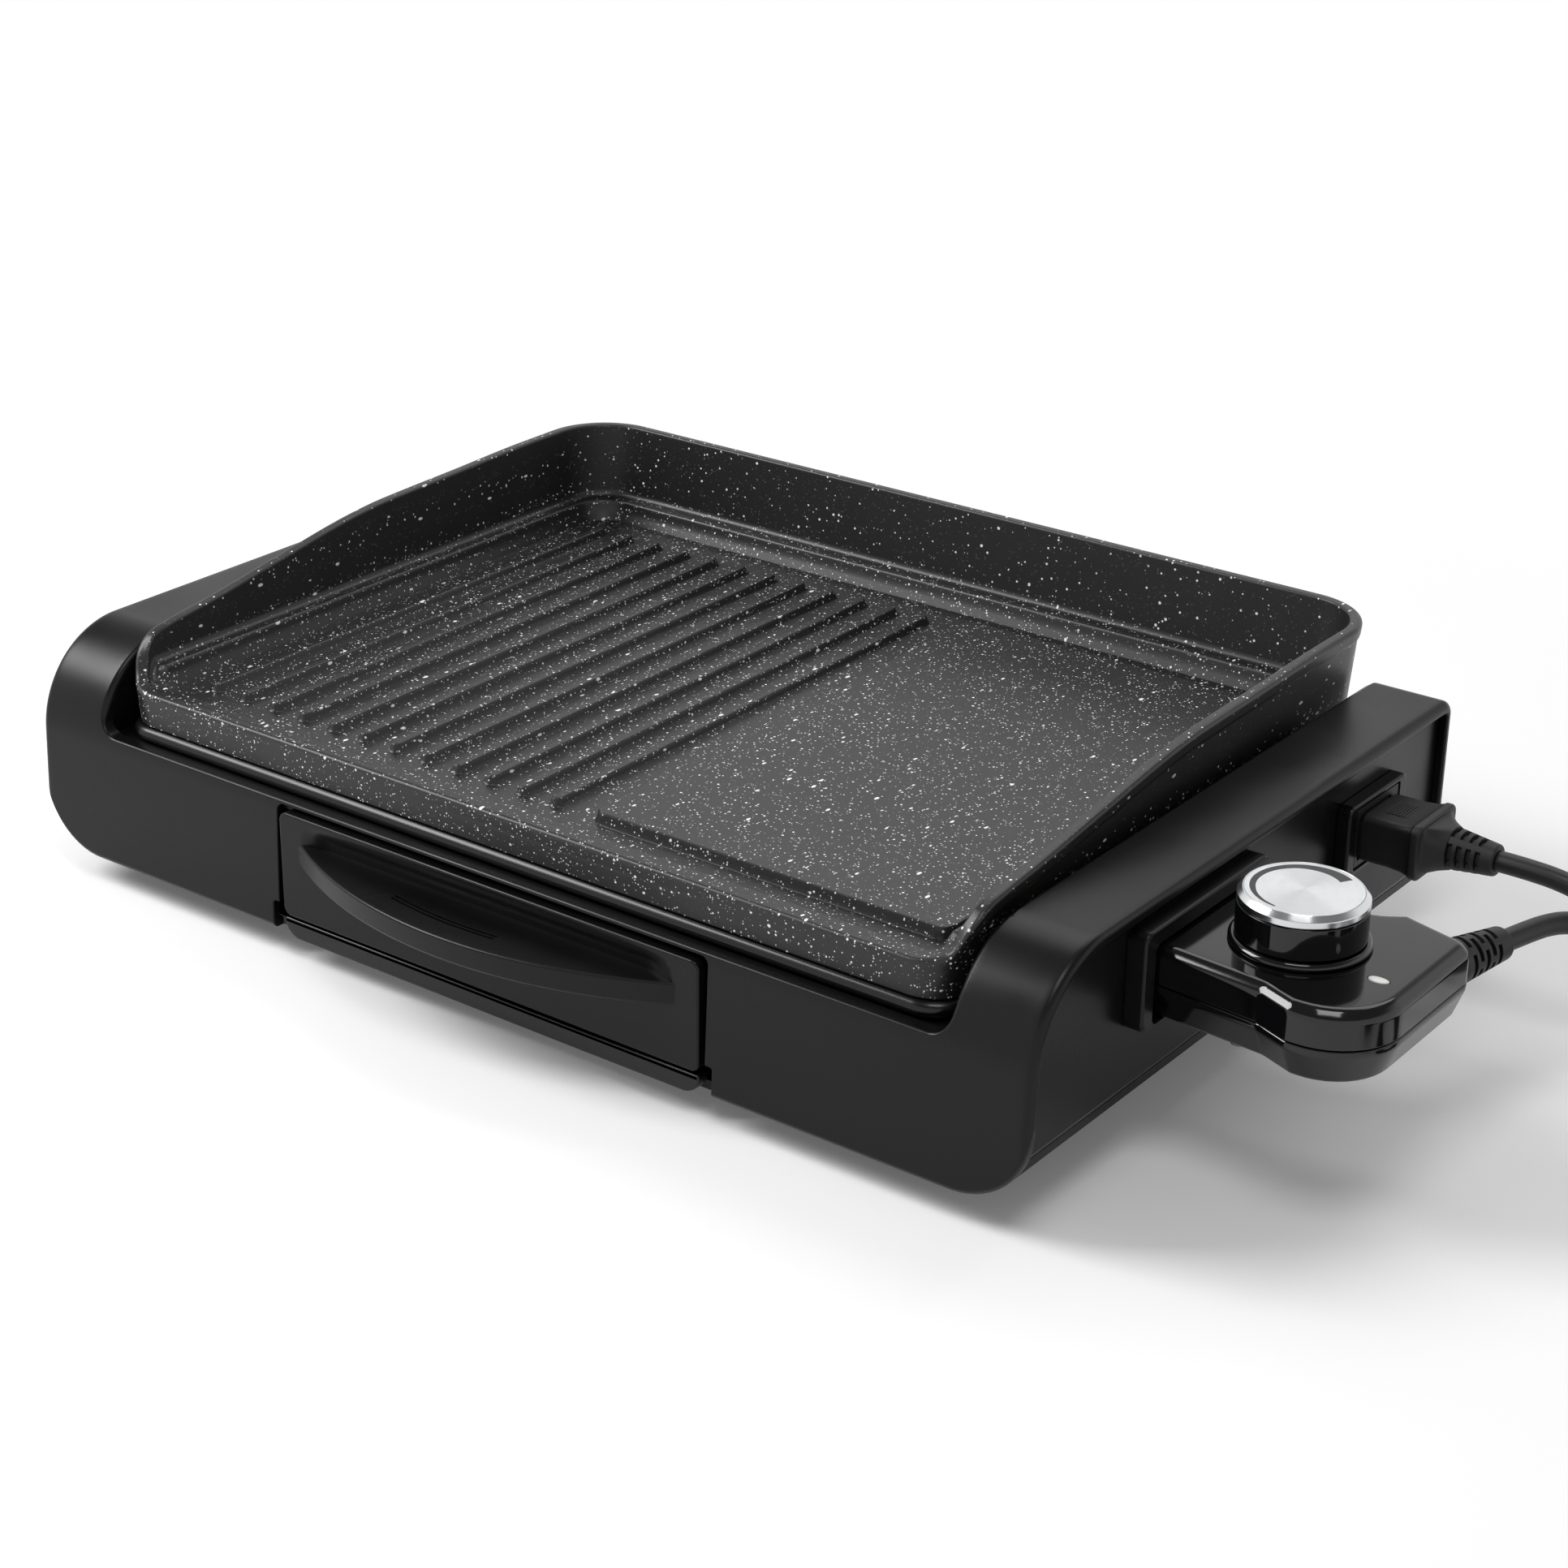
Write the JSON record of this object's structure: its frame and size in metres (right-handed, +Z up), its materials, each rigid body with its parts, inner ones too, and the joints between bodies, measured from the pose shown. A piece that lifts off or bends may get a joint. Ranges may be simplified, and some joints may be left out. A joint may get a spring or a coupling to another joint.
{
  "type": "electric plancha griddle",
  "caption": "Electric plancha: half ribbed, half flat non-stick plate on a moulded base with a sliding drip drawer, a plug-in thermostat with a turning knob, a mains inlet and coiled leads.",
  "frame": {"origin": "middle of the appliance's own outline, on the table, leads left out", "axes": "+X to the thermostat and inlet side, +Y to the back, +Z up"},
  "size_m": [0.6728, 0.454, 0.1155],
  "materials": {
    "housing_plastic": "satin moulded black",
    "gloss_plastic": "polished moulded black",
    "pan_enamel": "glossy black enamel on sheet steel",
    "cast_aluminium": "cast, dark speckled non-stick coat",
    "steel": "plain",
    "brushed_aluminium": "spun and polished at the edge",
    "brass": "plain",
    "ceramic": "unglazed technical ceramic",
    "rubber": "matte black",
    "cord_sheath": "matte black PVC sheath",
    "lens": "translucent pale"
  },
  "bodies": {
    "base": {"housing_shell": "housing_plastic", "side_panel_left": "housing_plastic", "side_panel_right": "housing_plastic", "bottom_cover": "housing_plastic", "inlet_frame": "housing_plastic", "probe_socket_frame": "housing_plastic", "probe_upper_shell": "gloss_plastic", "probe_lower_shell": "gloss_plastic", "knob_collar": "gloss_plastic", "heat_pan": "pan_enamel", "griddle_plate": "cast_aluminium", "cover_screw_1": "steel", "cover_screw_2": "steel", "cover_screw_3": "steel", "cover_screw_4": "steel", "drawer_rail_left": "steel", "drawer_rail_right": "steel", "lower_heater": "steel", "lower_heater_rest": "steel", "plate_heater": "steel", "plate_heater_clamp": "steel", "probe_screw_1": "steel", "probe_screw_2": "steel", "sensing_rod": "steel", "inlet_lead_plug_pins": "steel", "probe_lead_plug_pins": "steel", "inlet_pin_1": "brass", "inlet_pin_2": "brass", "inlet_pin_3": "brass", "probe_contact_1": "brass", "probe_contact_2": "brass", "indicator_lamp": "brass", "thermostat_switch": "ceramic", "foot_front_left": "rubber", "foot_front_right": "rubber", "foot_rear_right": "rubber", "foot_rear_left": "rubber", "inlet_socket": "rubber", "inlet_connector": "rubber", "inlet_connector_relief": "rubber", "probe_nose": "rubber", "probe_strain_relief": "rubber", "inlet_lead_plug": "rubber", "probe_lead_plug": "rubber", "inlet_lead_run": "cord_sheath", "inlet_lead_coil": "cord_sheath", "probe_lead_run": "cord_sheath", "probe_lead_coil": "cord_sheath", "inlet_wire_1": "cord_sheath", "inlet_wire_2": "cord_sheath", "probe_inner_lead": "cord_sheath", "indicator_lens": "lens"},
    "drawer": {"drawer_front": "housing_plastic", "drip_tray": "pan_enamel", "drawer_screw_1": "steel", "drawer_screw_2": "steel"},
    "knob": {"knob_skirt": "gloss_plastic", "knob_cap": "brushed_aluminium", "knob_spindle": "steel"}
  },
  "joints": [
    {"name": "drawer_slide", "type": "slide", "parent": "base", "child": "drawer", "axis": [0, -1, 0], "range_m": [0, 0.15]},
    {"name": "knob_turn", "type": "hinge", "parent": "base", "child": "knob", "pos_m": [0.21518, -0.03395, 0.09], "axis": [0, 0, -1], "range_deg": [0, 270]}
  ]
}
